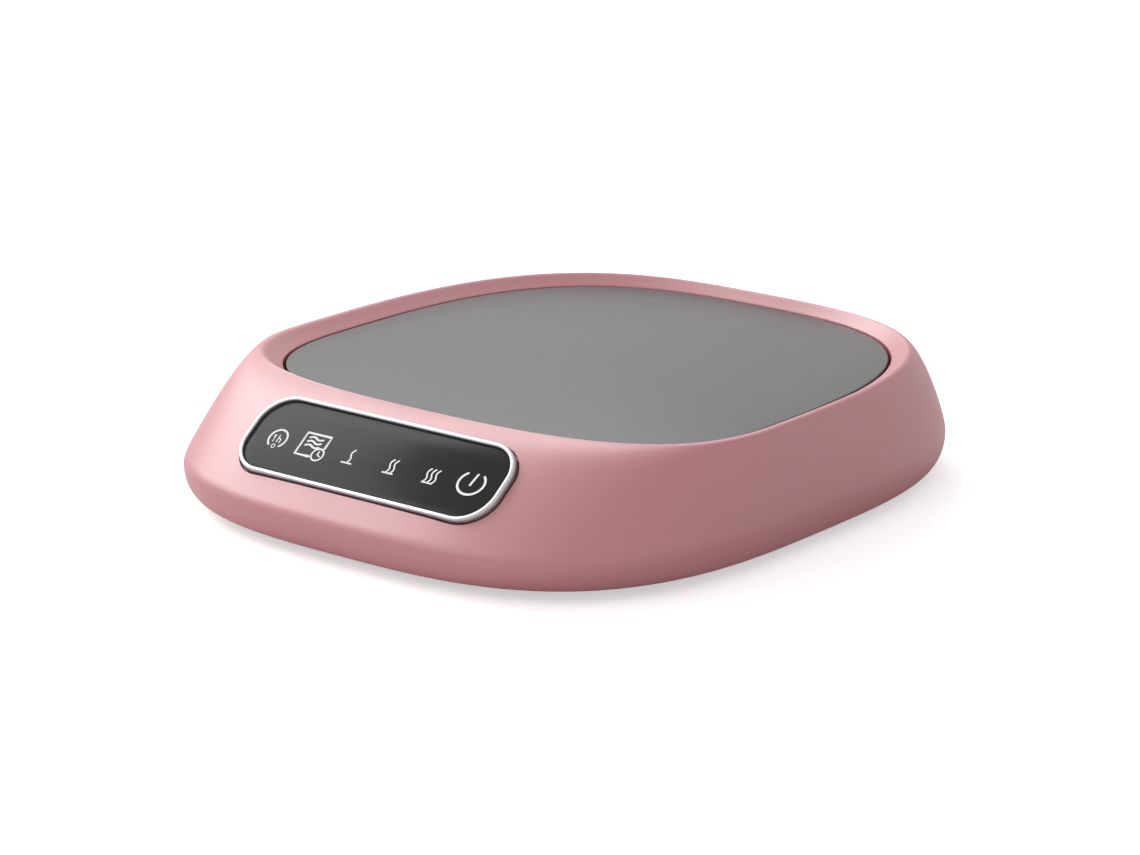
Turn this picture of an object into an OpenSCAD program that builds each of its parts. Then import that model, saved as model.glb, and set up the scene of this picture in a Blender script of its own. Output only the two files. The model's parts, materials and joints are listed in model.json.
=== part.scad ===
/* [Body] */
// Width of the body at its widest line
body_w = 130; // [126:1:134]
// Depth of the body at its widest line
body_d = 146; // [142:1:150]
// Height of the rim above the table
rim_z = 25.9; // [25.6:0.1:26.4]
// Height of the widest line, where the sloping faces begin
belt_z = 8.2; // [7.8:0.1:8.6]
// How far the rim stands back from the widest line, at each side
rim_in_side = 3.7; // [3.4:0.1:4]
// How far the rim stands back from the widest line, at the front
rim_in_front = 26.5; // [26.2:0.1:27]
// How far the rim stands back from the widest line, at the rear
rim_in_rear = 5.5; // [5.3:0.1:5.7]
// Wall thickness
wall = 2.2; // [2:0.1:2.3]

/* [Warming plate] */
// Half width of the glass plate
plate_half_w = 55.7; // [55.2:0.1:56]
// Thickness of the glass plate
plate_t = 3; // [2.8:0.1:3.1]
// Depth of the glass below the rim
plate_drop = 2; // [1.8:0.1:2.2]
// Clear gap round the glass plate
plate_gap = 0.6; // [0.4:0.1:0.8]

/* [Control panel] */
// Tilt of the panel above horizontal, in degrees
panel_tilt = 37.5; // [36.5:0.5:38.5]
// Length of the dark touch lens
lens_w = 62.6; // [62:0.2:63.2]
// Height of the dark touch lens
lens_h = 16.8; // [16.4:0.2:17]
// Width of the bright ring round the lens
ring_w = 1.05; // [0.95:0.05:1.15]
// Distance between neighbouring touch keys
key_pitch = 9.8; // [9.6:0.1:10]

/* [Power inlet] */
// Diameter of the inlet's centre pin
inlet_pin_d = 2.1; // [2.1, 2.5]
// Diameter of the inlet's socket
inlet_socket_d = 6.3; // [6.2:0.1:6.4]
// Length of the centre pin that stands free in the socket
inlet_pin_l = 8.8; // [8.6:0.1:9]

/* [Hidden] */

// Colours
pink = "#c98a90";
pale = "#ded7d6";
black = "#232325";
metal = "#b9bcc0";
board_green = "#2f6b45";

// Facets round the swept skin, and round true circles
around = 80;
fine = 48;

// A squircle outline is [half width, front y, rear y, exponent, y of its widest line]
belt_line = [body_w / 2, -body_d / 2, body_d / 2, 3.2, 0];
rim_line = [body_w / 2 - rim_in_side, rim_in_front - body_d / 2, body_d / 2 - rim_in_rear, 3, -10.3];
foot_line = [body_w / 2 - 2.45, 3.4 - body_d / 2, body_d / 2 - 2.4, 3, -0.7];
plate_line = [plate_half_w, rim_line[1] + 1.5, rim_line[2] - 3, 2.92, -4.6];
pocket_line = grown(plate_line, plate_gap);

// Heights, from the table upwards
base_z = 2;
base_t = 1.8;
base_top = base_z + base_t;
rim_lip = 3;
rim_lip_top = 5.6;
plate_top = rim_z - plate_drop;
plate_z = plate_top - plate_t;
gasket_t = 0.6;
gasket_w = 3;
ledge_top = plate_z - gasket_t;
ledge_t = 2;
ledge_w = 4;
ledge_z = ledge_top - ledge_t;
spreader_t = 1.5;
spreader_z = plate_z - spreader_t;
element_t = 0.5;
element_z = spreader_z - element_t;
pad_t = 2.5;
pad_z = element_z - pad_t;
clamp_t = 0.8;
clamp_z = pad_z - clamp_t;

// Rear and side flank, then inner slope of the rim: [share of the way inwards, height]
side_curve = [[0, belt_z], [-0.03, belt_z + 2.3], [0.56, rim_z - 2.3], [1, rim_z]];
front_slope = 0.767;
front_edge_z = belt_z + 1.1;
front_edge_share = 0.044;
front_round = 1.4;
crest_lift = 0.5;
slope_end = [0.94, plate_top + 0.15];

// Control panel frame: the middle of the lens's outer face
panel_y = -59.95;
panel_z = 19.27;
land_x = 34;
land_spread = 11;
land_push = 0.9;
ring_top = 0.55;
lens_top = -0.1;
lens_t = 1.5;
lens_r = 6.5;
lens_fit = 0.1;
tape_t = 0.2;
lip_w = 1.6;
lip_t = 0.6;
bezel_fit = 0.4;
bezel_bottom = lens_top - lens_t - tape_t - lip_t;
seat_back = bezel_bottom - 1.8;
collar_w = 1.4;
guide_bottom = bezel_bottom - 4;
touch_board_t = 1.2;
touch_board_bottom = guide_bottom - touch_board_t;
touch_board_size = [71, 14];
window_size = [60.4, 12.6];
window_r = 3;
touch_screw_at = [33, 4.6];
key_window = [7, 8];
keys = [for (i = [0:5]) (i - 2.5) * key_pitch];
legend_t = 0.08;
line_w = 0.42;
thin_line_w = 0.3;
legend_y = -0.6;

// Fastening the housing to the base, and the clamp plate to the housing
base_post_r = 3.2;
base_post_angles = [43, 137, 220, 320];
clamp_boss_r = 2.6;
clamp_boss_angles = [0, 65, 115, 180, 235, 305];
pilot_r = 1;
shank_r = 1.2;

// Main board
board_size = [62, 46];
board_y = 43.5;
board_t = 1.6;
board_z = 5.8;
board_top = board_z + board_t;
board_screw_at = [27, 18];
connector_at = [[-20, 24], [-4, 24], [12, 24]];
connector_size = [9, 4.5, 4];

// Power inlet
jack_size = [9, 8.6, 10.4];
jack_z = board_top + jack_size[1] / 2;
jack_back = 59.6;
jack_nose_d = 8;
jack_face = body_d / 2 - 0.9;
jack_bore_l = 9.4;
inlet_hole_d = 8.6;
inlet_shoulder_d = 3.2;

// Parts under the clamp plate
sensor_at = [8, -2];
fuse_at = [-20, -6];
fuse_d = 4;
fuse_l = 11;
tab_at = [[-6, -14], [6, -14]];
lead_d = 1.4;
thin_lead_d = 0.9;

foot_at = [34, 51];
foot_d = 12;
foot_recess = 0.5;

function lerp(a, b, t) = a + (b - a) * t;

function grown(line, by) = [line[0] + by, line[1] - by, line[2] + by, line[3], line[4]];

function blended(a, b, t) = [for (i = [0:4]) lerp(a[i], b[i], t)];

// The point of a squircle outline in the direction of an angle
function outline_point(line, angle) =
    let (
        c = abs(cos(angle)) / line[0],
        s = abs(sin(angle)) / (sin(angle) < 0 ? line[4] - line[1] : line[2] - line[4]),
        r = pow(pow(c, line[3]) + pow(s, line[3]), -1 / line[3])
    )
    [r * cos(angle), line[4] + r * sin(angle)];

function outline(line) = [for (i = [0:around - 1]) outline_point(line, 360 * i / around)];

function bezier(p, t) =
    pow(1 - t, 3) * p[0] + 3 * pow(1 - t, 2) * t * p[1] + 3 * (1 - t) * t * t * p[2] + pow(t, 3) * p[3];

// How much a direction faces the front, from 0 to 1
function frontness(angle) = pow(max(0, -sin(angle)), 2.6);

// The front face: a rounded lower edge, a flat slope, then a soft turn into the rim
function soft_slope(share) =
    let (rise = rim_z - front_edge_z - front_slope * rim_in_front * share)
    rim_z - front_round * ln(1 + exp(rise / front_round));

function front_curve(t) =
    let (
        k = t / 0.2,
        share = lerp(front_edge_share, 1, (t - 0.2) / 0.8),
        lift = (rim_z - soft_slope(1)) * pow(share, 6)
    )
    t < 0.2
        ? [k * k * front_edge_share,
           pow(1 - k, 2) * belt_z + 2 * k * (1 - k) * front_edge_z + k * k * soft_slope(front_edge_share)]
        : [share, soft_slope(share) + lift];

// A slight push outwards keeps the front face level under the ends of the panel
function land(x, share) = land_push * exp(-pow((abs(x) - land_x) / land_spread, 2)) * 4 * share * (1 - share);

// A point of the sloping flank, set in from the outside by a wall thickness
function flank_point(t, angle, inset, drop) =
    let (
        front = frontness(angle),
        p = lerp(bezier(side_curve, t), front_curve(t), front),
        xy = outline_point(grown(blended(belt_line, rim_line, p[0]), -inset), angle)
    )
    [xy[0], xy[1] - (sin(angle) < 0 ? land(xy[0], p[0]) * front : 0), p[1] - drop];

// A point of the curve from the underside up to the widest line
function under_point(t, angle) =
    let (
        xy = outline_point(blended(foot_line, belt_line, sin(90 * t)), angle)
    )
    [xy[0], xy[1], lerp(base_z, belt_z, 1 - cos(90 * t))];

// A point of the rim's rounded crest and inner slope
function crest_point(t, angle) =
    let (
        lift = crest_lift * (1 - frontness(angle)),
        p = bezier([[0, rim_z], [0.28, rim_z + lift], [0.3, rim_z - 0.2], slope_end], t),
        xy = outline_point(blended(rim_line, pocket_line, p[0]), angle)
    )
    [xy[0], xy[1], p[1]];

function flat_ring(line, z) = [for (p = outline(line)) [p[0], p[1], z]];

// A closed skin through a loop of rings
module ring_loop(rings) {
    faces = [
        for (j = [0:len(rings) - 1], i = [0:around - 1])
            let (
                k = (i + 1) % around,
                m = (j + 1) % len(rings),
                a = j * around + i,
                b = j * around + k,
                c = m * around + k,
                d = m * around + i
            )
            each [[a, c, b], [a, d, c]]
    ];
    polyhedron([for (r = rings) each r], faces);
}

module plate_of(line, z, t) {
    translate([0, 0, z]) linear_extrude(t) polygon(outline(line));
}

module rounded_rect(w, h, r) {
    union() {
        square([w - 2 * r, h], center = true);
        square([w, h - 2 * r], center = true);
        for (x = [-1, 1], y = [-1, 1]) translate([x * (w / 2 - r), y * (h / 2 - r)]) circle(r, $fn = fine);
    }
}

// A rounded slab between two levels of the panel frame
module slab(w, h, r, low, high) {
    translate([0, 0, low]) linear_extrude(high - low) rounded_rect(w, h, r);
}

module in_panel() {
    translate([0, panel_y, panel_z]) rotate([panel_tilt, 0, 0]) children();
}

module rod(d, h) {
    cylinder(d = d, h = h, $fn = fine);
}

module at_corners(x, y) {
    for (i = [-1, 1], j = [-1, 1]) translate([i * x, j * y]) children();
}

module at_outline(line, angles) {
    for (a = angles) translate(outline_point(line, a)) children();
}

// Cutting a route's corners rounds its bends
function rounded(route) = concat(
    [route[0]],
    [for (i = [1:len(route) - 2])
        each [lerp(route[i], route[i - 1], 0.3), lerp(route[i], route[i + 1], 0.3)]],
    [route[len(route) - 1]]
);

function unit(v) = v / norm(v);

function heading(route, i) = unit(route[min(i + 1, len(route) - 1)] - route[max(i - 1, 0)]);

function square_to(v, h) = unit(v - (v * h) * h);

// A wire of eight sides swept through a route
module wire(corners, d) {
    sides = 8;
    route = rounded(rounded(corners));
    count = len(route);
    rings = [for (i = 0, u = square_to([1, 0.2, 0.1], heading(route, 0)); i < count;
            i = i + 1, u = i < count ? square_to(u, heading(route, i)) : u)
        let (v = cross(heading(route, i), u))
        [for (k = [0:sides - 1]) route[i] + d / 2 * (cos(360 * k / sides) * u + sin(360 * k / sides) * v)]];
    faces = concat(
        [[for (k = [sides - 1:-1:0]) k]],
        [for (i = [0:count - 2], k = [0:sides - 1])
            let (a = i * sides + k, b = i * sides + (k + 1) % sides)
            each [[a, b, b + sides], [a, b + sides, a + sides]]],
        [[for (k = [0:sides - 1]) (count - 1) * sides + k]]
    );
    polyhedron([for (r = rings) each r], [for (f = faces) [for (i = [len(f) - 1:-1:0]) f[i]]]);
}

// A pan-head screw, its head's underside at the origin and its shank upwards
module screw(length, head_d, head_h) {
    translate([0, 0, -head_h]) difference() {
        rod(head_d, head_h);
        translate([0, 0, -0.1]) cylinder(d = head_d * 0.45, h = head_h * 0.6, $fn = 6);
    }
    rod(2 * shank_r, length);
}

// Housing

module housing_skin() {
    steps = 12;
    angles = [for (i = [0:around - 1]) 360 * i / around];
    ring_loop(concat(
        [for (j = [0:4]) [for (a = angles) under_point(j / 5, a)]],
        [for (j = [0:steps]) [for (a = angles) flank_point(j / steps, a, 0, 0)]],
        [for (j = [1:7]) [for (a = angles) crest_point(j / 7, a)]],
        [flat_ring(pocket_line, plate_top - 0.2)],
        [flat_ring(pocket_line, ledge_top)],
        [flat_ring(grown(pocket_line, -ledge_w), ledge_top)],
        [flat_ring(grown(pocket_line, -ledge_w), ledge_z)],
        [flat_ring(grown(pocket_line, 1.4), ledge_z)],
        [for (j = [0:6])
            [for (a = angles) flank_point(lerp(lerp(0.6, 0.78, frontness(a)), 0.06, j / 6), a, wall, 1)]],
        [flat_ring(grown(foot_line, -rim_lip), rim_lip_top)],
        [flat_ring(grown(foot_line, -rim_lip), base_z)]
    ));
}

module upper_housing() color(pink) {
    collar = [lens_w + 2 * (ring_w + collar_w), lens_h + 2 * (ring_w + collar_w)];
    difference() {
        union() {
            housing_skin();
            in_panel() slab(collar[0], collar[1], lens_r + ring_w + collar_w, seat_back, bezel_bottom + 0.1);
            in_panel() at_corners(touch_screw_at[0], touch_screw_at[1])
                translate([0, 0, guide_bottom]) rod(5, seat_back - guide_bottom + 0.1);
            at_outline(grown(pocket_line, -0.8), base_post_angles)
                translate([0, 0, base_top]) rod(2 * base_post_r, ledge_z - base_top + 0.4);
            at_outline(grown(pocket_line, -1.4), clamp_boss_angles)
                translate([0, 0, clamp_z + clamp_t]) rod(2 * clamp_boss_r, ledge_z - clamp_z - clamp_t + 0.4);
        }
        in_panel() slab(lens_w + 2 * (ring_w + bezel_fit), lens_h + 2 * (ring_w + bezel_fit),
            lens_r + ring_w + bezel_fit, bezel_bottom, 6);
        in_panel() slab(window_size[0], window_size[1], window_r, seat_back - 3, 0);
        in_panel() at_corners(touch_screw_at[0], touch_screw_at[1])
            translate([0, 0, guide_bottom - 0.1]) rod(1.4, 4.6);
        at_outline(grown(pocket_line, -0.8), base_post_angles)
            translate([0, 0, base_top - 0.1]) rod(2 * pilot_r, 11);
        at_outline(grown(pocket_line, -1.4), clamp_boss_angles)
            translate([0, 0, clamp_z + clamp_t - 0.1]) rod(2 * pilot_r, 3.4);
        translate([0, body_d / 2 - 6, jack_z]) rotate([-90, 0, 0]) rod(inlet_hole_d, 10);
    }
}

// Base

module base_cover() color(pink) difference() {
    union() {
        plate_of(grown(foot_line, -rim_lip - 0.3), base_z, base_t);
        translate([0, board_y]) at_corners(board_screw_at[0], board_screw_at[1])
            translate([0, 0, base_top - 0.1]) rod(5.6, board_z - base_top + 0.1);
    }
    at_corners(foot_at[0], foot_at[1]) translate([0, 0, base_z - 0.1]) rod(foot_d + 0.4, foot_recess + 0.1);
    at_outline(grown(pocket_line, -0.8), base_post_angles) {
        translate([0, 0, base_z - 0.1]) rod(5.2, 0.9);
        translate([0, 0, base_z - 0.1]) rod(2.8, base_t + 1);
    }
    translate([0, board_y]) at_corners(board_screw_at[0], board_screw_at[1])
        translate([0, 0, base_top - 0.6]) rod(2 * pilot_r, 4);
    translate([-24, -12, base_z - 0.1]) cube([48, 28, 0.4]);
}

module feet() color(black) at_corners(foot_at[0], foot_at[1]) union() {
    cylinder(d1 = foot_d - 1, d2 = foot_d, h = 0.8, $fn = fine);
    translate([0, 0, 0.8]) rod(foot_d, base_z + foot_recess - 0.8);
}

module base_screws() color(metal) at_outline(grown(pocket_line, -0.8), base_post_angles)
    translate([0, 0, base_z + 0.8]) screw(9, 4.8, 0.7);

// Warming stack

module warming_plate() color("#858486") union() {
    plate_of(grown(plate_line, -0.3), plate_z, 0.3);
    plate_of(plate_line, plate_z + 0.3, plate_t - 0.6);
    plate_of(grown(plate_line, -0.3), plate_top - 0.3, 0.3);
}

module plate_gasket() color("#1c1c1e") difference() {
    plate_of(grown(plate_line, -0.4), ledge_top, gasket_t);
    plate_of(grown(plate_line, -0.4 - gasket_w), ledge_top - 1, gasket_t + 2);
}

module heat_spreader() color("#c9ccd0")
    plate_of(grown(plate_line, -ledge_w - 0.4), spreader_z, spreader_t);

module heating_element() color("#b0752c") difference() {
    plate_of(grown(plate_line, -ledge_w - 1.4), element_z, element_t);
    // the gap between the foil's two halves, with a meander on each side
    translate([-0.4, -70, element_z - 1]) cube([0.8, 118, 3]);
    for (i = [0:8], s = [-1, 1])
        translate([s * (i % 2 == 0 ? 24 : 28) - 21, -34 + i * 10, element_z - 1]) cube([42, 0.8, 3]);
}

module insulation_pad() color("#d8d4c8") difference() {
    plate_of(grown(plate_line, -ledge_w - 0.8), pad_z, pad_t);
    translate([sensor_at[0], sensor_at[1], pad_z - 1]) rod(5, pad_t + 2);
    for (p = tab_at) translate([p[0], p[1], pad_z - 1]) rod(4, pad_t + 2);
}

module clamp_plate() color(metal) difference() {
    plate_of(grown(plate_line, -0.4), clamp_z, clamp_t);
    at_outline(grown(pocket_line, -0.8), base_post_angles)
        translate([0, 0, clamp_z - 1]) rod(2 * base_post_r + 1.6, clamp_t + 2);
    at_outline(grown(pocket_line, -1.4), clamp_boss_angles)
        translate([0, 0, clamp_z - 1]) rod(2.8, clamp_t + 2);
    translate([sensor_at[0], sensor_at[1], clamp_z - 1]) rod(4.6, clamp_t + 2);
    for (p = tab_at) translate([p[0], p[1], clamp_z - 1]) rod(4, clamp_t + 2);
    for (x = [-1, 1]) translate([fuse_at[0] + x * 5, fuse_at[1] + 4.4, clamp_z - 1]) rod(1.6, clamp_t + 2);
}

module clamp_screws() color("#d5d8dc") at_outline(grown(pocket_line, -1.4), clamp_boss_angles)
    translate([0, 0, clamp_z]) screw(4, 4.6, 1.5);

module temperature_sensor() color("#3a2a20")
    translate([sensor_at[0], sensor_at[1], element_z - 4.6]) union() {
        rod(4, 3.6);
        translate([0, 0, 3.6]) rod(3, 1);
    }

module thermal_fuse() color("#e8e3d4")
    translate([fuse_at[0] - fuse_l / 2, fuse_at[1], clamp_z - fuse_d / 2]) rotate([0, 90, 0]) union() {
        rod(fuse_d, fuse_l);
        translate([0, 0, -3]) rod(1, 3.1);
        translate([0, 0, fuse_l - 0.1]) rod(1, 3.1);
    }

// A steel strap that holds the fuse against the clamp plate
module fuse_clip() color(metal) translate([fuse_at[0], fuse_at[1], clamp_z]) difference() {
    union() {
        translate([0, 0, -fuse_d / 2]) rotate([0, 90, 0]) translate([0, 0, -3]) rod(fuse_d + 1.2, 6);
        translate([-3, -fuse_d / 2 - 0.6, -fuse_d / 2]) cube([6, fuse_d + 1.2, fuse_d / 2]);
        translate([-7, fuse_d / 2, -0.6]) cube([14, 4, 0.6]);
    }
    translate([0, 0, -fuse_d / 2]) rotate([0, 90, 0]) translate([0, 0, -4]) rod(fuse_d + 0.04, 8);
    translate([-4, -fuse_d / 2 - 0.02, -fuse_d / 2]) cube([8, fuse_d + 0.04, fuse_d]);
    for (x = [-1, 1]) translate([x * 5, 4.4, -1]) rod(1.6, 3);
}

connector_top = board_top + connector_size[2];

module heater_leads() color("#b3382f") {
    wire([[tab_at[0][0], tab_at[0][1], element_z], [tab_at[0][0], tab_at[0][1], 11.8], [-7, 4, 11.4],
        [-19, 18, 12.2], [-19, 24, 12.2], [-19, 24, connector_top]], lead_d);
    wire([[tab_at[1][0], tab_at[1][1], element_z], [tab_at[1][0], tab_at[1][1], 11.8], [3, -19, 11.6],
        [-24, -18, 11.6], [-30, fuse_at[1], clamp_z - fuse_d / 2],
        [-28.6, fuse_at[1], clamp_z - fuse_d / 2]], lead_d);
}

module fuse_leads() color("#b3382f")
    wire([[fuse_at[0] + fuse_l / 2 + 3, fuse_at[1], clamp_z - fuse_d / 2], [-9.5, 0, 11], [-22, 16, 11],
        [-22, 24, 12.2], [-22, 24, connector_top]], lead_d);

module sensor_leads() color("#e9e6df") for (s = [-1, 1])
    translate([s * 0.9, 0, 0])
        wire([[sensor_at[0], sensor_at[1], element_z - 4.6], [sensor_at[0], sensor_at[1], 11.6],
            [-2, 12, 12], [-4, 24, 12.6], [-4, 24, connector_top]], thin_lead_d);

// Control panel

module panel_bezel() color(pale) in_panel() difference() {
    union() {
        slab(lens_w + 2 * ring_w, lens_h + 2 * ring_w, lens_r + ring_w, bezel_bottom, ring_top - 0.3);
        slab(lens_w + 2 * ring_w - 0.5, lens_h + 2 * ring_w - 0.5, lens_r + ring_w - 0.25,
            ring_top - 0.4, ring_top);
    }
    slab(lens_w + 2 * lens_fit, lens_h + 2 * lens_fit, lens_r + lens_fit, bezel_bottom + lip_t, ring_top + 1);
    slab(lens_w - 2 * lip_w, lens_h - 2 * lip_w, lens_r - lip_w, bezel_bottom - 1, ring_top);
}

module panel_lens() color("#454545") in_panel()
    slab(lens_w, lens_h, lens_r, lens_top - lens_t, lens_top);

module lens_tape() color("#101010") in_panel() difference() {
    slab(lens_w - 0.4, lens_h - 0.4, lens_r - 0.2, bezel_bottom + lip_t, lens_top - lens_t);
    slab(lens_w - 2 * lip_w, lens_h - 2 * lip_w, lens_r - lip_w, bezel_bottom, lens_top);
}

// Legends printed on the lens, drawn flat and about 5 mm high

module ring_line(r, from, to) {
    steps = 20;
    polygon(concat(
        [for (i = [0:steps]) let (a = lerp(from, to, i / steps)) (r + line_w / 2) * [cos(a), sin(a)]],
        [for (i = [0:steps]) let (a = lerp(to, from, i / steps)) (r - line_w / 2) * [cos(a), sin(a)]]
    ));
}

module wave_line(x, low, high, swing) {
    steps = 10;
    points = [for (i = [0:steps])
        [x + swing * (i / steps + sin(360 * i / steps)), lerp(low, high, i / steps)]];
    polygon(concat(
        [for (p = points) p - [line_w / 2, 0]],
        [for (i = [steps:-1:0]) points[i] + [line_w / 2, 0]]
    ));
}

module power_legend() translate([0, 0.25]) {
    ring_line(2.75, -230, 50);
    translate([-line_w / 2, -0.45]) square([line_w, 2.6]);
}

module heat_legend(waves) {
    base_size = [2.5, line_w];
    for (i = [1:waves]) wave_line((i - (waves + 1) / 2) * 1.1 - 0.1, -2, 1.25, 0.34);
    translate([-base_size[0] / 2, -2.25]) square(base_size);
}

module clock_legend() {
    ring_line(1.45, 0, 359.9);
    translate([-thin_line_w / 2, 0]) square([thin_line_w, 0.85]);
    rotate(-25) translate([0, -thin_line_w / 2]) square([0.7, thin_line_w]);
}

// A frame with three level waves and a clock over its lower right corner
module auto_legend() translate([-0.8, 0.05]) {
    frame_size = [5.9, 5.3];
    clock_at = [2.45, -1.9];
    difference() {
        square(frame_size, center = true);
        square([frame_size[0] - 2 * line_w, frame_size[1] - 2 * line_w], center = true);
        translate(clock_at) circle(1.8, $fn = fine);
    }
    for (i = [0:2]) rotate(-90) wave_line(0.9 * i - 1.7, -1.75, 1.1, 0.2);
    translate(clock_at) clock_legend();
}

module hour_legend() {
    ring_line(2.35, -55, 235);
    translate([0, -2]) difference() {
        circle(0.6, $fn = fine);
        circle(0.36, $fn = fine);
    }
    for (x = [-1.1, -0.05]) translate([x, -0.95]) square([thin_line_w, 1.9]);
    translate([-0.05, 0]) square([1, thin_line_w]);
    translate([0.8, -0.95]) square([thin_line_w, 1.1]);
}

module key_legends() color("white") in_panel() translate([0, legend_y, lens_top]) linear_extrude(legend_t) {
    translate([keys[0], 0]) hour_legend();
    translate([keys[1], 0]) auto_legend();
    for (n = [1:3]) translate([keys[n + 1], 0]) heat_legend(n);
    translate([keys[5], 0]) power_legend();
}

module light_guide() color(black) in_panel() difference() {
    slab(window_size[0] - 0.4, window_size[1] - 0.4, window_r - 0.2, guide_bottom, bezel_bottom);
    for (x = keys) translate([x, 0]) slab(key_window[0], key_window[1], 1, guide_bottom - 1, 1);
}

module touch_springs() color("#d9b36a") in_panel() for (x = keys)
    translate([x, 0, guide_bottom]) difference() {
        rod(5.6, lens_top - lens_t - guide_bottom);
        translate([0, 0, -1]) rod(4.8, 8);
    }

module touch_board() color(board_green) in_panel() difference() {
    slab(touch_board_size[0], touch_board_size[1], 1.5, touch_board_bottom, guide_bottom);
    at_corners(touch_screw_at[0], touch_screw_at[1]) translate([0, 0, touch_board_bottom - 1]) rod(2, 4);
}

module indicator_leds() color("#f2efe6") in_panel() for (x = keys)
    translate([x - 1.5, -0.7, guide_bottom]) cube([3, 1.4, 1]);

module touch_board_screws() color("#d5d8dc") in_panel() at_corners(touch_screw_at[0], touch_screw_at[1])
    translate([0, 0, touch_board_bottom]) union() {
        translate([0, 0, -1.2]) rod(3.2, 1.2);
        rod(1.6, 4.6);
    }

// A flat cable from the touch board to the front edge of the main board
module touch_ribbon() color("#e4e2dc") translate([8, 0, 0]) rotate([90, 0, 90]) linear_extrude(8) polygon([
    [-53.9, 13.6], [-52.4, 9.2], [-48, 6.2], [-40, 5.4], [10, 5.4], [19.5, 8.6], [21.8, 9.2],
    [21.8, 9.7], [19.3, 9.1], [9.9, 5.9], [-40, 5.9], [-47.8, 6.7], [-52, 9.5], [-53.4, 13.6]
]);

// Main board and its parts

module main_board() color(board_green) difference() {
    translate([0, board_y, board_z]) linear_extrude(board_t) rounded_rect(board_size[0], board_size[1], 2);
    translate([0, board_y]) at_corners(board_screw_at[0], board_screw_at[1])
        translate([0, 0, board_z - 1]) rod(2.8, board_t + 2);
}

module main_board_screws() color("#d5d8dc") translate([0, board_y, board_top])
    at_corners(board_screw_at[0], board_screw_at[1]) rotate([180, 0, 0]) screw(4, 4.6, 1.4);

module inlet_jack() color(black) translate([0, 0, jack_z]) difference() {
    union() {
        translate([-jack_size[0] / 2, jack_back, -jack_size[1] / 2])
            cube([jack_size[0], jack_size[2], jack_size[1]]);
        translate([0, jack_back + 1, 0]) rotate([-90, 0, 0]) rod(jack_nose_d, jack_face - jack_back - 1);
    }
    translate([0, jack_face - jack_bore_l, 0]) rotate([-90, 0, 0]) rod(inlet_socket_d, jack_bore_l + 1);
    translate([0, jack_back - 1, 0]) rotate([-90, 0, 0]) rod(inlet_shoulder_d, 10);
    translate([-1.5, jack_face - jack_bore_l, -jack_size[1] / 2 + 0.6]) cube([3, 6, 1.2]);
}

// The pin's shoulder is moulded into the body, and ends at the socket's floor
module inlet_pin() color(metal) translate([0, 0, jack_z]) rotate([-90, 0, 0]) union() {
    floor_y = jack_face - jack_bore_l;
    translate([0, 0, jack_back - 0.6]) rod(inlet_shoulder_d, floor_y - jack_back + 0.6);
    translate([0, 0, floor_y - 0.1]) rod(inlet_pin_d, inlet_pin_l + 0.1);
}

module inlet_contact() color(metal)
    translate([-1.4, jack_face - jack_bore_l, jack_z - jack_size[1] / 2 + 0.7]) cube([2.8, 5.6, 0.3]);

module controller_chip() color(black) translate([-4, 38, board_top]) cube([8, 5, 1.6]);

module power_transistor() color(black) translate([-22, 34, board_top]) union() {
    cube([6.5, 6, 2.3]);
    translate([0.6, 6, 0]) cube([5.3, 3, 0.6]);
}

module filter_capacitors() color("#2b3f66") for (x = [13, 21]) translate([x, 44, board_top]) union() {
    rod(6.3, 6.4);
    translate([0, 0, 6.4]) rod(5.4, 0.3);
}

module inductor() color("#4a4a4c") translate([-24, 48, board_top]) linear_extrude(4) rounded_rect(7, 7, 1.5);

module buzzer() color(black) translate([-10, 52, board_top]) difference() {
    rod(9, 4.5);
    translate([0, 0, 3.5]) rod(1.6, 2);
}

module board_connectors() color("#efece2") for (p = connector_at)
    translate([p[0] - connector_size[0] / 2, p[1] - connector_size[1] / 2, board_top]) cube(connector_size);

upper_housing();
base_cover();
feet();
base_screws();
warming_plate();
plate_gasket();
heat_spreader();
heating_element();
insulation_pad();
clamp_plate();
clamp_screws();
temperature_sensor();
thermal_fuse();
fuse_clip();
heater_leads();
fuse_leads();
sensor_leads();
panel_bezel();
panel_lens();
lens_tape();
key_legends();
light_guide();
touch_springs();
touch_board();
indicator_leds();
touch_board_screws();
touch_ribbon();
main_board();
main_board_screws();
inlet_jack();
inlet_pin();
inlet_contact();
controller_chip();
power_transistor();
filter_capacitors();
inductor();
buzzer();
board_connectors();
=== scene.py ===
import json
import math

import bmesh
import bpy
from mathutils import Matrix, Vector


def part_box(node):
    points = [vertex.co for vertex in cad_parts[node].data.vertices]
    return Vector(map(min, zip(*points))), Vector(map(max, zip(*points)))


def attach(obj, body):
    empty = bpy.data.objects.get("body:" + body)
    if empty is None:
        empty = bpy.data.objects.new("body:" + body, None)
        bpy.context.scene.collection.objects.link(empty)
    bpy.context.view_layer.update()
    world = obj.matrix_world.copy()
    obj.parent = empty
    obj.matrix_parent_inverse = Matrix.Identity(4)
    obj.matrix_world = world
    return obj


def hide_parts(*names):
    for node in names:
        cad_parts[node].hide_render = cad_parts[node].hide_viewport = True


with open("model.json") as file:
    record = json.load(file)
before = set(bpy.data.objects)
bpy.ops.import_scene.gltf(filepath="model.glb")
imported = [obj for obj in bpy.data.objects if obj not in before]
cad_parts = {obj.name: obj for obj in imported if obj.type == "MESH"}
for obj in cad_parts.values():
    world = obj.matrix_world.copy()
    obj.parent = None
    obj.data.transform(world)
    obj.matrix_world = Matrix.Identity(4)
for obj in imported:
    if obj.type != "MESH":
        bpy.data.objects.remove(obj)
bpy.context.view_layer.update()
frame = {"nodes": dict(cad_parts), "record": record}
nodes = frame["nodes"]
MM = 0.001

# ---------------------------------------------------------------- sizes

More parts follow.
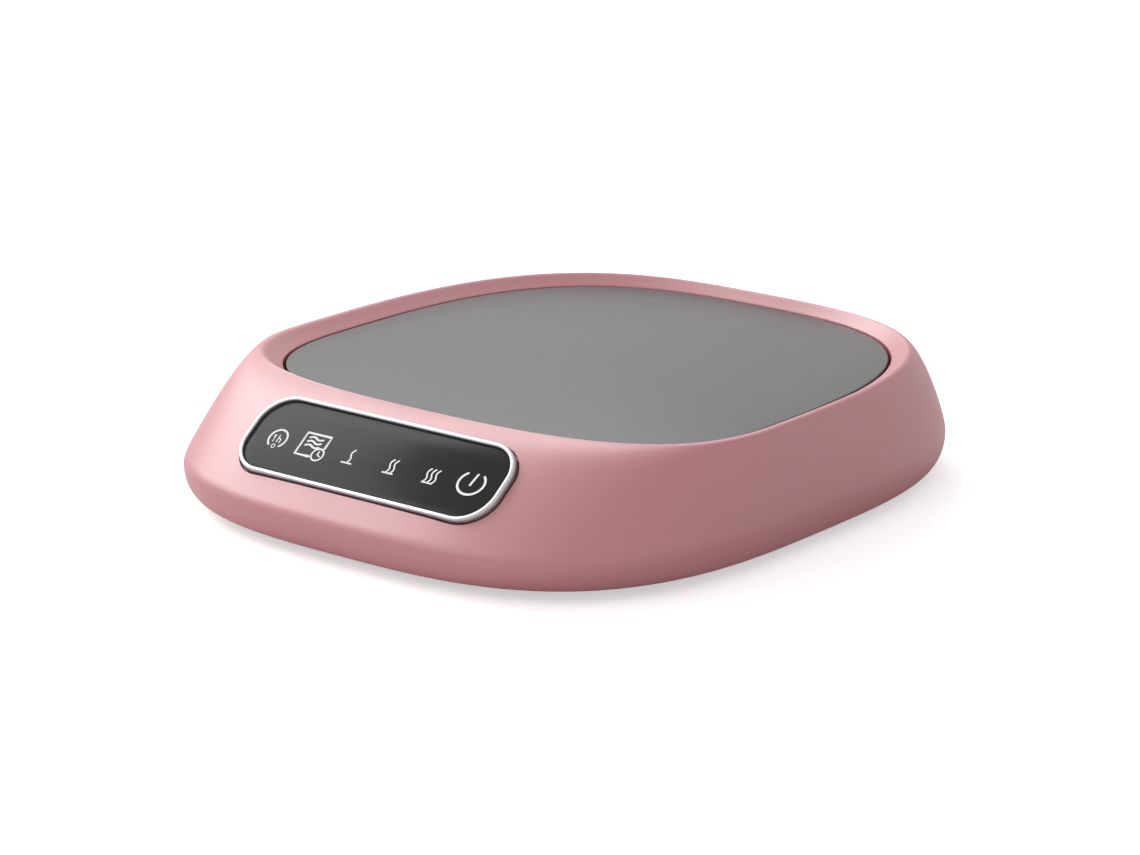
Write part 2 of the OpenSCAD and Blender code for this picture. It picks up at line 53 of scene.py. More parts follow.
HOUSING_LOW, HOUSING_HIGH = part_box("upper_housing")
PLATE_LOW, PLATE_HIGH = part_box("warming_plate")

BELT_HALF_W = HOUSING_HIGH.x
BELT_HALF_D = -HOUSING_LOW.y
BELT_Z = 8.2 * MM
RIM_Z = 25.9 * MM
UNDER_Z = HOUSING_LOW.z
PLATE_TOP = PLATE_HIGH.z

# How far the rim's front lies behind the front of the widest line
RIM_SETBACK = 26.5 * MM

# A squircle outline: half width, front y, rear y, exponent, y of its widest line
BELT = (BELT_HALF_W, -BELT_HALF_D, BELT_HALF_D, 3.2, 0)
RIM = (BELT_HALF_W - 3.7 * MM, -BELT_HALF_D + RIM_SETBACK, BELT_HALF_D - 5.5 * MM, 3, -10.3 * MM)
FOOT = (BELT_HALF_W - 2.45 * MM, -BELT_HALF_D + 3.4 * MM, BELT_HALF_D - 2.4 * MM, 3, -0.7 * MM)
PLATE = (PLATE_HIGH.x, PLATE_LOW.y, PLATE_HIGH.y, 2.92, -4.6 * MM)
AROUND = 320

# The gap round the plate, and the ledge that carries the plate
GAP, GAP_EDGE = 0.6 * MM, 0.02 * MM
LEDGE_DEPTH, LEDGE_W, LEDGE_T = 3.6 * MM, 4 * MM, 2 * MM
LEDGE_ROOT = 1.4 * MM

# The wall, and the lip at its foot
WALL, WALL_DROP = 2.2 * MM, 1 * MM
LIP_W, LIP_EDGE, LIP_TOP = 3 * MM, 0.3 * MM, 5.6 * MM

# The sides' curve from the widest line to the rim, as shares of the way inwards and heights
SIDE_CURVE = ((0, BELT_Z), (-0.03, BELT_Z + 2.3 * MM), (0.56, RIM_Z - 2.3 * MM), (1, RIM_Z))
CREST_LIFT = 0.5 * MM

# The front face's slope, its rounded lower edge, and its flat land under the ends of the panel
FRONT_FADE = 2.6
FRONT_SLOPE = 0.767
FRONT_EDGE_Z = BELT_Z + 1.1 * MM
FRONT_EDGE_SHARE, FRONT_EDGE_T = 0.044, 0.2
FRONT_ROUND, RIM_JOIN_POWER = 1.4 * MM, 6
LAND_X, LAND_SPREAD, LAND_PUSH = 34 * MM, 11 * MM, 0.9 * MM

# The touch panel. Its own frame lies in the front face, with its origin at the panel's middle, and the
# heights below are measured outwards from it
PANEL_TILT = math.radians(37.5)
PANEL = Matrix.Translation((0, -59.95 * MM, 19.27 * MM)) @ Matrix.Rotation(PANEL_TILT, 4, "X")
PANEL_CORNER_STEPS = 24
LENS_W, LENS_H, LENS_R = 62.6 * MM, 16.8 * MM, 6.5 * MM
LENS_TOP, LENS_T, LENS_EDGE = -0.1 * MM, 1.5 * MM, 0.18 * MM
RING_W, RING_TOP, RING_BOTTOM = 1.05 * MM, 0.55 * MM, -2.4 * MM
RING_FIT = 0.4 * MM
RING_LIP_W, RING_LIP_TOP = 1.6 * MM, -1.8 * MM
PLATE_EDGE = 0.35 * MM

# The power inlet's countersunk hole in the rear wall. Its profile gives, in mm, how much wider than
# INLET_R the hole is, and how far out from the wall's face
JACK_LOW, JACK_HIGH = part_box("inlet_jack")
INLET = Vector((0, BELT_HALF_D, (JACK_LOW.z + JACK_HIGH.z) / 2))
INLET_R = 4.3 * MM
INLET_PROFILE = ((0, -8), (0, -0.75), (0.12, -0.45), (0.5, 0.1), (0.9, 2))
INLET_STEPS = 48


# ---------------------------------------------------------------- shape helpers

def mix(a, b, t):
    return a + (b - a) * t


def grown(line, by):
    """An outline moved outwards on every side."""
    return (line[0] + by, line[1] - by, line[2] + by, line[3], line[4])


def blended(a, b, t):
    """An outline between two others."""
    return tuple(mix(u, v, t) for u, v in zip(a, b))


def outline_point(line, angle):
    """The point of a squircle outline in the direction of an angle."""
    half, front, rear, power, middle = line
    reach = middle - front if math.sin(angle) < 0 else rear - middle
    c = abs(math.cos(angle)) / half
    s = abs(math.sin(angle)) / reach
    r = (c ** power + s ** power) ** (-1 / power)
    return r * math.cos(angle), middle + r * math.sin(angle)


def bezier(points, t):
    weights = ((1 - t) ** 3, 3 * (1 - t) ** 2 * t, 3 * (1 - t) * t * t, t ** 3)
    return [sum(w * p[i] for w, p in zip(weights, points)) for i in range(2)]


def frontness(angle):
    """1 at the middle of the front, fading to 0 at the sides and the rear."""
    return max(0.0, -math.sin(angle)) ** FRONT_FADE


def soft_slope(share):
    """The front face's height at a share of the way to the rim, rounded over into the rim's level."""
    rise = RIM_Z - FRONT_EDGE_Z - FRONT_SLOPE * RIM_SETBACK * share
    return RIM_Z - FRONT_ROUND * math.log(1 + math.exp(rise / FRONT_ROUND))


def front_curve(t):
    """The front's curve: the rounded lower edge, then the slope, which ends in the rim."""
    if t < FRONT_EDGE_T:
        k = t / FRONT_EDGE_T
        high = soft_slope(FRONT_EDGE_SHARE)
        return (k * k * FRONT_EDGE_SHARE,
                (1 - k) ** 2 * BELT_Z + 2 * k * (1 - k) * FRONT_EDGE_Z + k * k * high)
    share = mix(FRONT_EDGE_SHARE, 1, (t - FRONT_EDGE_T) / (1 - FRONT_EDGE_T))
    return share, soft_slope(share) + (RIM_Z - soft_slope(1)) * share ** RIM_JOIN_POWER


def flank_point(t, angle, inset=0.0, drop=0.0):
    """A point of the sloping flank, from the widest line up to the rim, or of the wall's inner face."""
    front = frontness(angle)
    share, z = (mix(a, b, front) for a, b in zip(bezier(SIDE_CURVE, t), front_curve(t)))
    x, y = outline_point(grown(blended(BELT, RIM, share), -inset), angle)
    if math.sin(angle) < 0:
        land = math.exp(-(((abs(x) - LAND_X) / LAND_SPREAD) ** 2))
        y -= LAND_PUSH * land * 4 * share * (1 - share) * front
    return x, y, z - drop


def under_point(t, angle):
    """A point of the rounded underside, from the foot up to the widest line."""
    x, y = outline_point(blended(FOOT, BELT, math.sin(t * math.pi / 2)), angle)
    return x, y, mix(UNDER_Z, BELT_Z, 1 - math.cos(t * math.pi / 2))


def crest_point(t, angle):
    """A point of the rim's rounded crest and inner slope, down to the gap round the plate."""
    lift = CREST_LIFT * (1 - frontness(angle))
    curve = ((0, RIM_Z), (0.28, RIM_Z + lift), (0.3, RIM_Z - 0.2 * MM), (0.94, PLATE_TOP + 0.15 * MM))
    share, z = bezier(curve, t)
    x, y = outline_point(blended(RIM, grown(PLATE, GAP), share), angle)
    return x, y, z


def arc(cx, cy, r, start, end, steps=40):
    """Points of an arc, from one angle to another in degrees."""
    return [(cx + r * math.cos(math.radians(mix(start, end, i / steps))),
             cy + r * math.sin(math.radians(mix(start, end, i / steps)))) for i in range(steps + 1)]


def slab_profile(low, top, edge, steps):
    """A flat plate's side, as (distance outwards, height): a small bevel below, a rounded edge above."""
    corner = [math.pi / 2 * k / steps for k in range(steps + 1)]
    return [(-edge, low), (0, low + edge)] + [
        (-edge * (1 - math.cos(a)), top - edge * (1 - math.sin(a))) for a in corner]


# ---------------------------------------------------------------- mesh helpers

def new_object(name, verts, faces, material, smooth=True):
    mesh = bpy.data.meshes.new(name)
    mesh.from_pydata([tuple(v) for v in verts], [], faces)
    mesh.validate()
    obj = bpy.data.objects.new(name, mesh)
    bpy.context.scene.collection.objects.link(obj)
    bm = bmesh.new()
    bm.from_mesh(mesh)
    bmesh.ops.remove_doubles(bm, verts=bm.verts, dist=0.0001 * MM)
    bmesh.ops.recalc_face_normals(bm, faces=bm.faces)
    bm.to_mesh(mesh)
    bm.free()
    for face in mesh.polygons:
        face.use_smooth = smooth
    mesh.materials.append(material)
    return obj


def ring_mesh(rings, closed=False, capped=False):
    """Vertices and quads through a stack of rings that all have the same number of points."""
    count = len(rings[0])
    verts = [p for ring in rings for p in ring]
    faces = []
    stacks = len(rings) if closed else len(rings) - 1
    for j in range(stacks):
        low, high = j * count, ((j + 1) % len(rings)) * count
        for i in range(count):
            k = (i + 1) % count
            faces.append((low + i, low + k, high + k, high + i))
    if capped:
        faces.append(tuple(range(count))[::-1])
        faces.append(tuple(range(len(verts) - count, len(verts))))
    return verts, faces


def cut(obj, cutter):
    """Takes the cutter's volume out of an object."""
    modifier = obj.modifiers.new("cut", "BOOLEAN")
    modifier.operation = "DIFFERENCE"
    modifier.solver = "EXACT"
    modifier.object = cutter
    depsgraph = bpy.context.evaluated_depsgraph_get()
    mesh = bpy.data.meshes.new_from_object(obj.evaluated_get(depsgraph))
    obj.modifiers.clear()
    obj.data = mesh
    bpy.data.objects.remove(cutter)


def drop_slivers(obj):
    """Takes away the flat pairs of triangles that a cut can leave on its edges."""
    mesh = obj.data
    bm = bmesh.new()
    bm.from_mesh(mesh)
    bmesh.ops.triangulate(bm, faces=bm.faces)
    bmesh.ops.remove_doubles(bm, verts=bm.verts, dist=0.001 * MM)
    bmesh.ops.dissolve_degenerate(bm, edges=bm.edges, dist=0.001 * MM)
    bmesh.ops.triangulate(bm, faces=bm.faces)
    groups = {}
    for face in bm.faces:
        groups.setdefault(frozenset(face.verts), []).append(face)
    flat_pairs = [face for group in groups.values() if len(group) > 1 for face in group]
    bmesh.ops.delete(bm, geom=flat_pairs, context="FACES")
    bm.to_mesh(mesh)
    bm.free()


def sharpen(obj, degrees):
    """Smooth shading that keeps edges crisp above an angle."""
    mesh = obj.data
    bm = bmesh.new()
    bm.from_mesh(mesh)
    limit = math.radians(degrees)
    for edge in bm.edges:
        edge.smooth = not (len(edge.link_faces) == 2 and edge.calc_face_angle(0) > limit)
    for face in bm.faces:
        face.smooth = True
    bm.to_mesh(mesh)
    bm.free()


def rounded_outline(w, h, r):
    """A rounded rectangle, anticlockwise."""
    points = []
    for cx, cy, start in ((1, 1, 0), (-1, 1, 90), (-1, -1, 180), (1, -1, 270)):
        points += arc(cx * (w / 2 - r), cy * (h / 2 - r), r, start, start + 90, PANEL_CORNER_STEPS)
    return points


def panel_rings(profile):
    """Rings round the lens's outline through a profile of (distance outwards, height)."""
    return [[PANEL @ Vector((x, y, z)) for x, y in rounded_outline(LENS_W + 2 * d, LENS_H + 2 * d, LENS_R + d)]
            for d, z in profile]


# ---------------------------------------------------------------- materials

# Sizes of the colour patches and the height of the fine grain in every finish
PATCHES, GRAIN_HEIGHT = 60, 0.0002


def noise(tree, scale, detail, stretch=(1, 1, 1)):
    coord = tree.nodes.new("ShaderNodeTexCoord")
    mapping = tree.nodes.new("ShaderNodeMapping")
    mapping.inputs["Scale"].default_value = stretch
    texture = tree.nodes.new("ShaderNodeTexNoise")
    texture.inputs["Scale"].default_value = scale
    texture.inputs["Detail"].default_value = detail
    tree.links.new(coord.outputs["Object"], mapping.inputs["Vector"])
    tree.links.new(mapping.outputs["Vector"], texture.inputs["Vector"])
    return texture.outputs["Fac"]


def ramp(tree, value, low, high):
    """Maps a texture's usual middle band to the range from low to high."""
    node = tree.nodes.new("ShaderNodeMapRange")
    node.inputs["From Min"].default_value = 0.3
    node.inputs["From Max"].default_value = 0.7
    node.inputs["To Min"].default_value = low
    node.inputs["To Max"].default_value = high
    tree.links.new(value, node.inputs["Value"])
    return node.outputs["Result"]


def surface(name, color, rough=0.5, metallic=0.0, grain=900, bump=0.02, spread=0.04, rough_spread=0.06,
            stretch=(1, 1, 1), specular=0.5, ior=1.5):
    """A procedural finish: slight colour and roughness variation, and a fine bump."""
    material = bpy.data.materials.new(name)
    material.use_nodes = True
    tree = material.node_tree
    shader = tree.nodes["Principled BSDF"]
    tint = tree.nodes.new("ShaderNodeMix")
    tint.data_type = "RGBA"
    tint.inputs["A"].default_value = tuple(c * (1 - spread) for c in color) + (1,)
    tint.inputs["B"].default_value = tuple(min(1, c * (1 + spread)) for c in color) + (1,)
    tree.links.new(ramp(tree, noise(tree, PATCHES, 4), 0, 1), tint.inputs["Factor"])
    tree.links.new(tint.outputs["Result"], shader.inputs["Base Color"])
    fine = noise(tree, grain, 2, stretch)
    tree.links.new(ramp(tree, fine, rough - rough_spread, rough + rough_spread), shader.inputs["Roughness"])
    height = tree.nodes.new("ShaderNodeBump")
    height.inputs["Strength"].default_value = bump
    height.inputs["Distance"].default_value = GRAIN_HEIGHT
    tree.links.new(fine, height.inputs["Height"])
    tree.links.new(height.outputs["Normal"], shader.inputs["Normal"])
    shader.inputs["Metallic"].default_value = metallic
    shader.inputs["Specular IOR Level"].default_value = specular
    shader.inputs["IOR"].default_value = ior
    return material


PINK = surface("rose_pearl_plastic", (0.485, 0.163, 0.183), rough=0.44, grain=1800, bump=0.05, spread=0.012,
               rough_spread=0.03, specular=0.9, ior=1.65)
GLASS = surface("dark_glass", (0.068, 0.067, 0.069), rough=0.36, grain=1500, bump=0.01, spread=0.03,
                rough_spread=0.02, specular=0.45)
LENS = surface("smoked_lens", (0.02, 0.02, 0.021), rough=0.16, grain=500, bump=0.002, spread=0.03,
               rough_spread=0.02, specular=0.11)
CHROME = surface("bright_ring", (0.52, 0.52, 0.525), rough=0.4, metallic=1.0, grain=1400, bump=0.02,
                 spread=0.02, rough_spread=0.05)
INK = surface("white_ink", (0.86, 0.86, 0.86), rough=0.6, grain=3000, bump=0.05, spread=0.03)
SLOT_LOOKS = {
    "housing_plastic": PINK,
    "plate_glass": GLASS,
    "lens_plastic": LENS,
    "bright_ring": CHROME,
    "legend_ink": INK,
    "black_rubber": surface("black_rubber", (0.018, 0.018, 0.019), rough=0.8, grain=1200, bump=0.3,
                            spread=0.15),
    "silicone": surface("black_silicone", (0.012, 0.012, 0.013), rough=0.65, bump=0.1, spread=0.1),
    "aluminium_sheet": surface("rolled_aluminium", (0.75, 0.76, 0.78), rough=0.35, metallic=1, grain=400,
                               stretch=(0.05, 1, 1), bump=0.05),
    "heater_foil": surface("heater_foil", (0.5, 0.29, 0.1), rough=0.35, metallic=0.6, grain=600, bump=0.05,
                           spread=0.1),
    "glass_fibre": surface("glass_fibre_mat", (0.7, 0.68, 0.62), rough=0.95, grain=1500, bump=0.8,
                           spread=0.12),
    "steel_sheet": surface("zinc_steel", (0.62, 0.63, 0.65), rough=0.38, metallic=1, grain=150, spread=0.12,
                           bump=0.03),
    "screw_steel": surface("screw_steel", (0.6, 0.6, 0.62), rough=0.3, metallic=1, grain=900, spread=0.08,
                           bump=0.04),
    "black_plastic": surface("black_plastic", (0.02, 0.02, 0.022), rough=0.45, grain=1500, bump=0.12,
                             spread=0.1),
    "white_plastic": surface("white_plastic", (0.75, 0.74, 0.69), rough=0.45, grain=1200, bump=0.08),
    "circuit_board": surface("solder_mask", (0.02, 0.15, 0.06), rough=0.35, grain=500, bump=0.05,
                             spread=0.15),
    "red_wire": surface("red_sleeve", (0.45, 0.035, 0.025), rough=0.55, grain=1500, bump=0.1),
    "pale_wire": surface("pale_sleeve", (0.72, 0.71, 0.66), rough=0.55, grain=1500, bump=0.1),
    "spring_metal": surface("plated_spring", (0.8, 0.6, 0.28), rough=0.25, metallic=1, grain=900, bump=0.03),
    "plated_metal": surface("nickel_plate", (0.68, 0.67, 0.65), rough=0.22, metallic=1, grain=900, bump=0.02),
    "capacitor_sleeve": surface("capacitor_sleeve", (0.03, 0.045, 0.14), rough=0.3, grain=800, bump=0.04),
    "ceramic": surface("glazed_ceramic", (0.74, 0.7, 0.58), rough=0.4, grain=900, bump=0.08),
}


def dress_nodes():
    slots = {entry["node"]: entry["material_slot"] for entry in frame["record"]["subparts"]}
    for name, obj in nodes.items():
        obj.data.materials.clear()
        obj.data.materials.append(SLOT_LOOKS[slots[name]])


# ---------------------------------------------------------------- the pieces

ANGLES = [2 * math.pi * i / AROUND for i in range(AROUND)]


def flat_ring(line, z):
    return [(*outline_point(line, a), z) for a in ANGLES]


def housing():
    """The pink moulding: underside, flank and rim outside, then ledge, wall and lip inside."""
    flank, crest, under, inner = 64, 28, 18, 8
    # where the wall's inner face ends below the ledge, at the sides and at the front
    inner_top_side, inner_top_front, inner_foot = 0.6, 0.78, 0.06

    def inner_share(angle, t):
        return mix(mix(inner_top_side, inner_top_front, frontness(angle)), inner_foot, t)

    pocket = grown(PLATE, GAP)
    ledge = PLATE_TOP - LEDGE_DEPTH
    rings = [[under_point(j / under, a) for a in ANGLES] for j in range(under)]
    rings += [[flank_point(j / flank, a) for a in ANGLES] for j in range(flank + 1)]
    rings += [[crest_point(j / crest, a) for a in ANGLES] for j in range(1, crest + 1)]
    rings += [flat_ring(line, z) for line, z in (
        (grown(PLATE, GAP + GAP_EDGE), PLATE_TOP - 0.05 * MM),
        (pocket, PLATE_TOP - 0.25 * MM),
        (pocket, ledge),
        (grown(pocket, -LEDGE_W), ledge),
        (grown(pocket, -LEDGE_W), ledge - LEDGE_T),
        (grown(pocket, LEDGE_ROOT), ledge - LEDGE_T))]
    rings += [[flank_point(inner_share(a, j / inner), a, WALL, WALL_DROP) for a in ANGLES]
              for j in range(inner + 1)]
    rings += [flat_ring(line, z) for line, z in (
        (grown(FOOT, -LIP_W), LIP_TOP),
        (grown(FOOT, -LIP_W), UNDER_Z + LIP_EDGE),
        (grown(FOOT, LIP_EDGE - LIP_W), UNDER_Z))]
    verts, faces = ring_mesh(rings, closed=True)
    return new_object("housing_shell", verts, faces, PINK)


def cut_panel_seat(shell):
    fit = RING_W + RING_FIT
    verts, faces = ring_mesh(panel_rings(((fit, RING_BOTTOM), (fit, 5 * MM))), capped=True)
    cut(shell, new_object("seat_cutter", verts, faces, PINK))


def cut_inlet(shell):
    turn = [2 * math.pi * i / INLET_STEPS for i in range(INLET_STEPS)]
    rings = [[((INLET_R + wider * MM) * math.cos(a), INLET.y + over * MM,
               INLET.z + (INLET_R + wider * MM) * math.sin(a)) for a in turn]
             for wider, over in INLET_PROFILE]
    verts, faces = ring_mesh(rings, capped=True)
    cut(shell, new_object("inlet_cutter", verts, faces, PINK))


def glass_plate():
    profile = slab_profile(PLATE_LOW.z, PLATE_TOP, PLATE_EDGE, 6)
    verts, faces = ring_mesh([flat_ring(grown(PLATE, d), z) for d, z in profile], capped=True)
    plate = new_object("glass_top", verts, faces, GLASS)
    sharpen(plate, 40)
    return plate


def bezel():
    """The bright ring: a rounded inner edge, a narrow flat top, and a rounded outer slope into the seat."""
    inside, bevel, flat, drop = 0.11 * MM, 0.32 * MM, 0.66 * MM, 0.9 * MM
    slope = [math.radians(a) for a in range(90, -1, -10)]
    edge = [math.radians(a) for a in range(90, -1, -15)]
    profile = [(RING_W, RING_BOTTOM)]
    profile += [(flat + (RING_W - flat) * math.sin(a), RING_TOP - drop * (1 - math.cos(a))) for a in slope]
    profile += [(inside + bevel * (1 - math.cos(a)), RING_TOP - bevel * (1 - math.sin(a))) for a in edge]
    profile += [(inside, RING_LIP_TOP), (-RING_LIP_W, RING_LIP_TOP), (-RING_LIP_W, RING_BOTTOM)]
    verts, faces = ring_mesh(panel_rings(profile), closed=True)
    ring = new_object("ring_trim", verts, faces, CHROME)
    sharpen(ring, 30)
    return ring


def lens():
    profile = slab_profile(LENS_TOP - LENS_T, LENS_TOP, LENS_EDGE, 5)
    verts, faces = ring_mesh(panel_rings(profile), capped=True)
    piece = new_object("touch_lens", verts, faces, LENS)
    sharpen(piece, 40)
    return piece


# ---------------------------------------------------------------- the printed legends

INK_T, INK_SINK = 0.05 * MM, 0.02 * MM


def stroke(points, width, closed=False):
    """The outline of a printed line through points of the panel, in millimetres, with round ends."""
    half = width * MM / 2
    pts = [Vector((x * MM, y * MM)) for x, y in points]
    count = len(pts)
    sides = []
    for i in range(count):
        before = pts[(i - 1) % count] if closed else pts[max(i - 1, 0)]
        after = pts[(i + 1) % count] if closed else pts[min(i + 1, count - 1)]
        d = (after - before).normalized()
        sides.append(Vector((-d.y, d.x)) * half)
    left = [p + s for p, s in zip(pts, sides)]
    right = [p - s for p, s in zip(pts, sides)]
    if closed:
        return [("band", left, right)]

    def round_end(centre, side):
        start = math.atan2(side.y, side.x)
        return [centre + Vector((math.cos(start - math.pi * k / 8), math.sin(start - math.pi * k / 8))) * half
                for k in range(1, 8)]

    return [("loop", left + round_end(pts[-1], sides[-1]) + right[::-1] + round_end(pts[0], -sides[0]), None)]


def wave(x, low, high, lean, swing, steps=24):
    """A rising line that swings once to each side."""
    return [(x + lean * i / steps + swing * math.sin(2 * math.pi * i / steps), mix(low, high, i / steps))
            for i in range(steps + 1)]


def legend(name, strokes):
    """One printed mark: its strokes as thin solids on the lens."""
    verts, faces = [], []
    low, high = LENS_TOP - INK_SINK, LENS_TOP + INK_T

    def add(loop, z):
        start = len(verts)
        verts.extend(PANEL @ Vector((p.x, p.y, z)) for p in loop)
        return start

    for kind, outer, inner in strokes:
        n = len(outer)
        a, b = add(outer, low), add(outer, high)
        if kind == "loop":
            faces.append(tuple(range(b, b + n)))
            faces.append(tuple(reversed(range(a, a + n))))
            faces += [(a + i, a + (i + 1) % n, b + (i + 1) % n, b + i) for i in range(n)]
        else:
            c, d = add(inner, low), add(inner, high)
            for i in range(n):
                k = (i + 1) % n
                faces += [(a + i, a + k, b + k, b + i), (c + k, c + i, d + i, d + k),
                          (b + i, b + k, d + k, d + i), (a + k, a + i, c + i, c + k)]
    return new_object(name, verts, faces, INK, smooth=False)


def hour_strokes(x, y):
    """An open circle with a dot in its gap, round the characters 1h."""
    body = 0.24
    marks = stroke(arc(x, y, 2.15, -50, 232), 0.42)
    marks += stroke(arc(x, y - 1.85, 0.42, 0, 345, 20), 0.18, True)
    marks += stroke([(x - 1.2, y + 0.6), (x - 0.85, y + 0.85), (x - 0.85, y - 0.85)], body)
    marks += stroke([(x + 0.1, y + 0.85), (x + 0.1, y - 0.85)], body)
    marks += stroke([(x + 0.1, y - 0.05), (x + 0.4, y + 0.15), (x + 0.7, y + 0.05),
                     (x + 0.85, y - 0.25), (x + 0.85, y - 0.85)], body)
    return marks


def auto_strokes(x, y):
    """A square of three waves, with a clock over its lower right corner."""
    left, right, top, bottom = x - 3.8, x + 2.35, y + 2.3, y - 2.95
    clock_x, clock_y, clear = right - 0.75, bottom + 0.8, 1.75
    marks = stroke([(clock_x - clear, bottom), (left, bottom), (left, top), (right, top),
                    (right, clock_y + clear)], 0.56)
    marks += stroke(arc(clock_x, clock_y, 1.4, 0, 350, 36), 0.36, True)
    marks += stroke([(clock_x, clock_y + 0.85), (clock_x, clock_y), (clock_x + 0.65, clock_y - 0.3)], 0.32)
    for k in range(3):
        lying = [(b, a) for a, b in wave(1.3 - 0.95 * k + y, left + 1.2, left + 4.6, 0, 0.26)]
        marks += stroke(lying, 0.42)
    return marks


def heat_strokes(x, y, count):
    """One to three rising waves over a base line."""
    width, apart = 0.34, 1.1
    marks = []
    for k in range(count):
        marks += stroke(wave(x - 0.05 + apart * (k - (count - 1) / 2), -2.3 + y, 0.85 + y, 0.4, 0.34), width)
    return marks + stroke([(x - 1.25, -2.35 + y), (x + 1.2, -2.35 + y)], width)


def power_strokes(x, y):
    """An open oval with a bar in its gap."""
    oval = [(x + 3.0 * math.cos(math.radians(a)), -0.15 + y + 2.65 * math.sin(math.radians(a)))
            for a in range(-228, 49, 6)]
    return stroke(oval, 0.5) + stroke([(x + 0.35, 2.0 + y), (x - 0.05, -0.6 + y)], 0.48)


def legends():
    """Six printed function marks, each within about 6 mm."""
    pitch, hour_y, y = 9.8, -0.9, -0.2
    hour_x, auto_x, low_x, mid_x, high_x, power_x = ((i - 2.5) * pitch for i in range(6))
    return [legend("legend_one_hour", hour_strokes(hour_x, hour_y)),
            legend("legend_auto", auto_strokes(auto_x, y)),
            legend("legend_low", heat_strokes(low_x - 0.6, y, 1)),
            legend("legend_medium", heat_strokes(mid_x + 0.1, y, 2)),
            legend("legend_high", heat_strokes(high_x + 0.2, y, 3)),
            legend("legend_power", power_strokes(power_x, y))]


# ---------------------------------------------------------------- camera, floor and light

CAMERA_AZIMUTH, CAMERA_ELEVATION = math.radians(38.668), math.radians(16.559)
# The camera's place along its right, up and backward directions, and the height of its aim
CAMERA_RIGHT, CAMERA_UP, CAMERA_BACK, CAMERA_AIM_Z = 0.015 * MM, 8.808 * MM, 761.77 * MM, 2.2 * MM
FOCAL_PIXELS, FRAME_PIXELS, SENSOR = 3720.2, 1140, 36

WORLD_LIGHT, WORLD_SEEN = 0.5, 1.0
FLOOR_HALF, FLOOR_GLOW = 4.0, 0.52

# Name, place, size and power of each light, all aimed at one point
LIGHT_AIM = (0, 0, 0.015)
LIGHTS = (("key", (-0.92, 0.0, 0.69), (0.85, 0.7), 8.8),
          ("rim", (-0.64, 0.56, 0.77), (0.5, 0.4), 2.6),
          ("fill", (-0.30, -0.85, 0.75), (0.9, 0.9), 2))


def camera():
    right = Vector((math.cos(CAMERA_AZIMUTH), math.sin(CAMERA_AZIMUTH), 0))
    level = math.cos(CAMERA_ELEVATION)
    forward = Vector((-math.sin(CAMERA_AZIMUTH) * level, math.cos(CAMERA_AZIMUTH) * level,
                      -math.sin(CAMERA_ELEVATION)))
    up = right.cross(forward)
    data = bpy.data.cameras.new("camera")
    data.sensor_width = SENSOR
    data.lens = FOCAL_PIXELS / FRAME_PIXELS * SENSOR
    data.clip_start, data.clip_end = 0.01, 20
    obj = bpy.data.objects.new("camera", data)
    place = right * CAMERA_RIGHT + up * CAMERA_UP - forward * CAMERA_BACK + Vector((0, 0, CAMERA_AIM_Z))
    obj.matrix_world = Matrix((
        (right.x, up.x, -forward.x, place.x),
        (right.y, up.y, -forward.y, place.y),
        (right.z, up.z, -forward.z, place.z),
        (0, 0, 0, 1)))
    bpy.context.scene.collection.objects.link(obj)
    bpy.context.scene.camera = obj


def area_light(name, place, size, power):
    data = bpy.data.lights.new(name, "AREA")
    data.shape = "RECTANGLE"
    data.size, data.size_y = size
    data.energy = power
    obj = bpy.data.objects.new(name, data)
    obj.location = place
    obj.rotation_euler = (Vector(LIGHT_AIM) - Vector(place)).to_track_quat("-Z", "Y").to_euler()
    bpy.context.scene.collection.objects.link(obj)


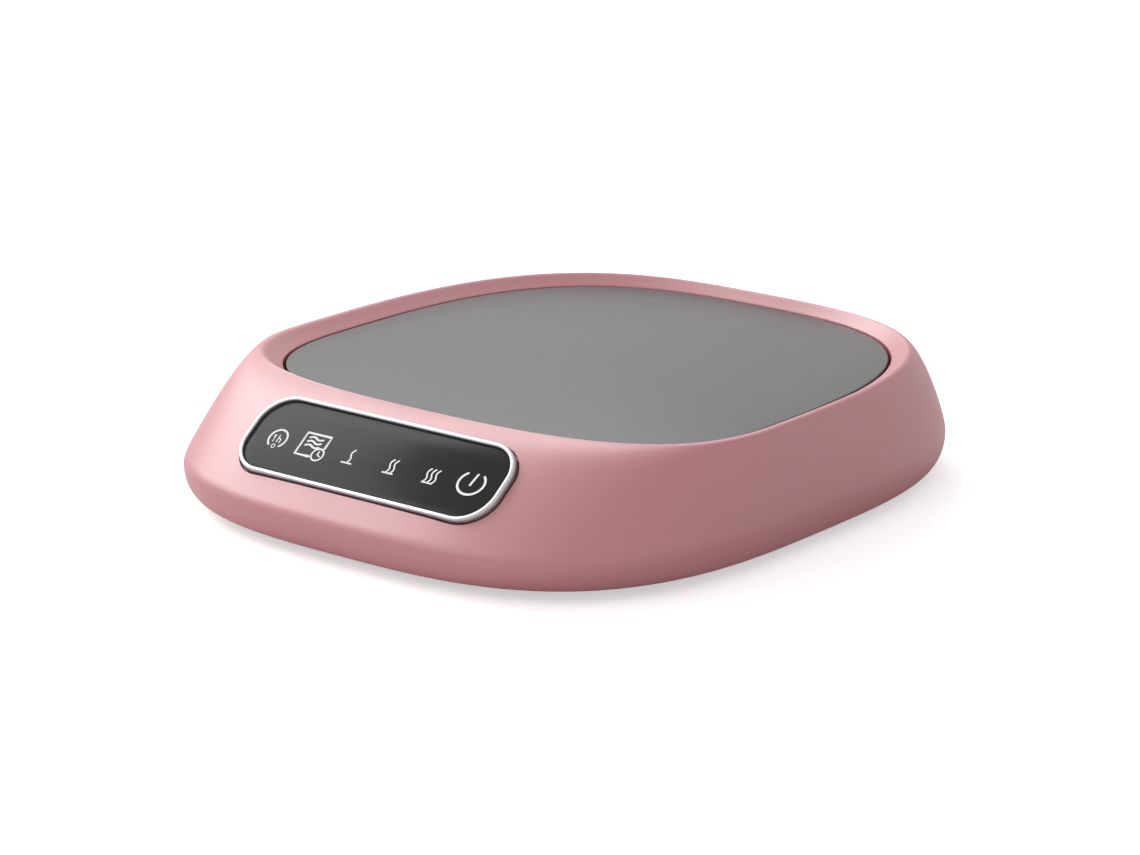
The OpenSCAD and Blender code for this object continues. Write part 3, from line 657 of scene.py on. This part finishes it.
def white_world():
    """A soft world light, which the camera, mirrors and glass see as plain white."""
    world = bpy.data.worlds.new("studio")
    bpy.context.scene.world = world
    world.use_nodes = True
    tree = world.node_tree
    background = tree.nodes["Background"]
    path = tree.nodes.new("ShaderNodeLightPath")
    seen = path.outputs["Is Camera Ray"]
    for ray in ("Is Glossy Ray", "Is Transmission Ray"):
        either = tree.nodes.new("ShaderNodeMath")
        either.operation = "MAXIMUM"
        tree.links.new(seen, either.inputs[0])
        tree.links.new(path.outputs[ray], either.inputs[1])
        seen = either.outputs[0]
    level = tree.nodes.new("ShaderNodeMapRange")
    level.inputs["To Min"].default_value = WORLD_LIGHT
    level.inputs["To Max"].default_value = WORLD_SEEN
    tree.links.new(seen, level.inputs["Value"])
    tree.links.new(level.outputs["Result"], background.inputs["Strength"])
    background.inputs["Color"].default_value = (1, 1, 1, 1)


def white_floor():
    """A pale floor that the camera sees a little brighter, and that keeps the object's shadow."""
    look = surface("floor_paper", (0.93, 0.93, 0.93), rough=0.9, grain=60, bump=0.01, spread=0.005,
                   specular=0.1)
    tree = look.node_tree
    shader = tree.nodes["Principled BSDF"]
    path = tree.nodes.new("ShaderNodeLightPath")
    glow = tree.nodes.new("ShaderNodeMath")
    glow.operation = "MULTIPLY"
    glow.inputs[1].default_value = FLOOR_GLOW
    tree.links.new(path.outputs["Is Camera Ray"], glow.inputs[0])
    shader.inputs["Emission Color"].default_value = (1, 1, 1, 1)
    tree.links.new(glow.outputs[0], shader.inputs["Emission Strength"])
    corners = ((-1, -1), (1, -1), (1, 1), (-1, 1))
    verts = [(x * FLOOR_HALF, y * FLOOR_HALF, 0) for x, y in corners]
    floor = new_object("floor", verts, [(0, 1, 2, 3)], look)


# ---------------------------------------------------------------- build

bpy.context.scene.view_settings.view_transform = "Standard"
camera()
white_world()
white_floor()
for light in LIGHTS:
    area_light(*light)
dress_nodes()

shell = housing()
cut_panel_seat(shell)
cut_inlet(shell)
drop_slivers(shell)
sharpen(shell, 38)
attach(shell, "root")
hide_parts("upper_housing")

plate = glass_plate()
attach(plate, "root")
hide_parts("warming_plate")

ring = bezel()
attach(ring, "root")
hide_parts("panel_bezel")

touch = lens()
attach(touch, "root")
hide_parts("panel_lens")

for piece in legends():
    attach(piece, "root")
    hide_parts("key_legends")
